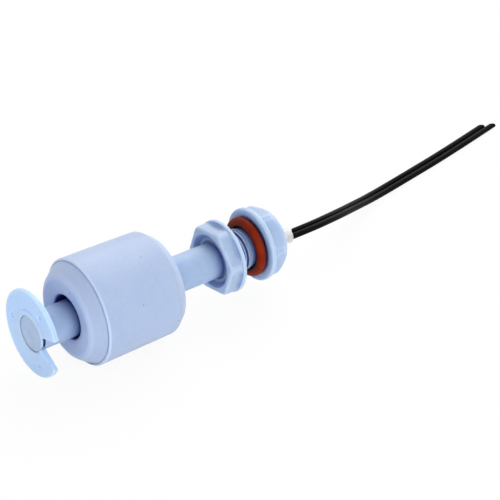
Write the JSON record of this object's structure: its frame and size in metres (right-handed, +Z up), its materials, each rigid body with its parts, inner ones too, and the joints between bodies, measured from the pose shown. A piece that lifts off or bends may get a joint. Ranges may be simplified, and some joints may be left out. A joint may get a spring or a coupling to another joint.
{
  "type": "float level switch",
  "caption": "Stem-mounted liquid level switch: a magnetic float slides on a plastic stem with a reed contact inside, clamped in a panel hole by a nut and sealed by a ring, with two leads.",
  "frame": {"origin": "on the ground, under the middle of the switch without its leads, which lies on its float with its stem level", "axes": "+Z up; +X along the stem, from the float's stop towards the leads; +Y across the stem, to the left seen from the stop's end looking along +X"},
  "size_m": [0.1563, 0.0369, 0.025],
  "materials": {
    "housing_plastic": "moulded natural polypropylene, satin, slightly translucent",
    "nut_plastic": "moulded natural polypropylene, satin",
    "clip_plastic": "moulded natural polypropylene, pale blue cast, satin",
    "float_plastic": "moulded natural polypropylene, satin, faint mottling",
    "cap_plastic": "moulded natural polypropylene, satin, welded seam",
    "seal_rubber": "moulded red-brown silicone rubber, satin",
    "magnet_ferrite": "sintered ferrite, dark grey, dull",
    "reed_glass_clear": "drawn clear glass, polished",
    "blade_metal": "plated nickel-iron, bright",
    "sleeve_film": "clear shrunk insulation tube, glossy",
    "conductor_metal": "tinned stranded copper, twisted",
    "solder": "tin solder, bright and slightly wrinkled",
    "potting_resin": "cast translucent grey resin, smooth",
    "lead_insulation": "extruded black PVC, soft sheen"
  },
  "bodies": {
    "housing": {"stem_housing": "housing_plastic", "o_ring": "seal_rubber", "retaining_clip": "clip_plastic", "reed_glass": "reed_glass_clear", "reed_blade_near": "blade_metal", "reed_blade_far": "blade_metal", "reed_sleeve": "sleeve_film", "conductor_a": "conductor_metal", "conductor_b": "conductor_metal", "solder_joint_a": "solder", "solder_joint_b": "solder", "joint_sleeve": "sleeve_film", "return_sleeve": "sleeve_film", "potting": "potting_resin", "lead_a": "lead_insulation", "lead_b": "lead_insulation"},
    "magnet": {"ring_magnet": "magnet_ferrite"},
    "float": {"float_shell": "float_plastic", "float_cap": "cap_plastic"},
    "nut": {"hex_nut": "nut_plastic"}
  },
  "joints": [
    {"name": "float_slide", "type": "slide", "parent": "housing", "child": "magnet", "axis": [1, 0, 0], "range_m": [-0.0076, 0.014]},
    {"name": "float_spin", "type": "hinge", "parent": "magnet", "child": "float", "pos_m": [-0.014, 0, 0.0125], "axis": [1, 0, 0], "continuous": true},
    {"name": "nut_turn", "type": "hinge", "parent": "housing", "child": "nut", "pos_m": [0.0146, 0, 0.01195], "axis": [1, 0, 0], "continuous": true}
  ]
}
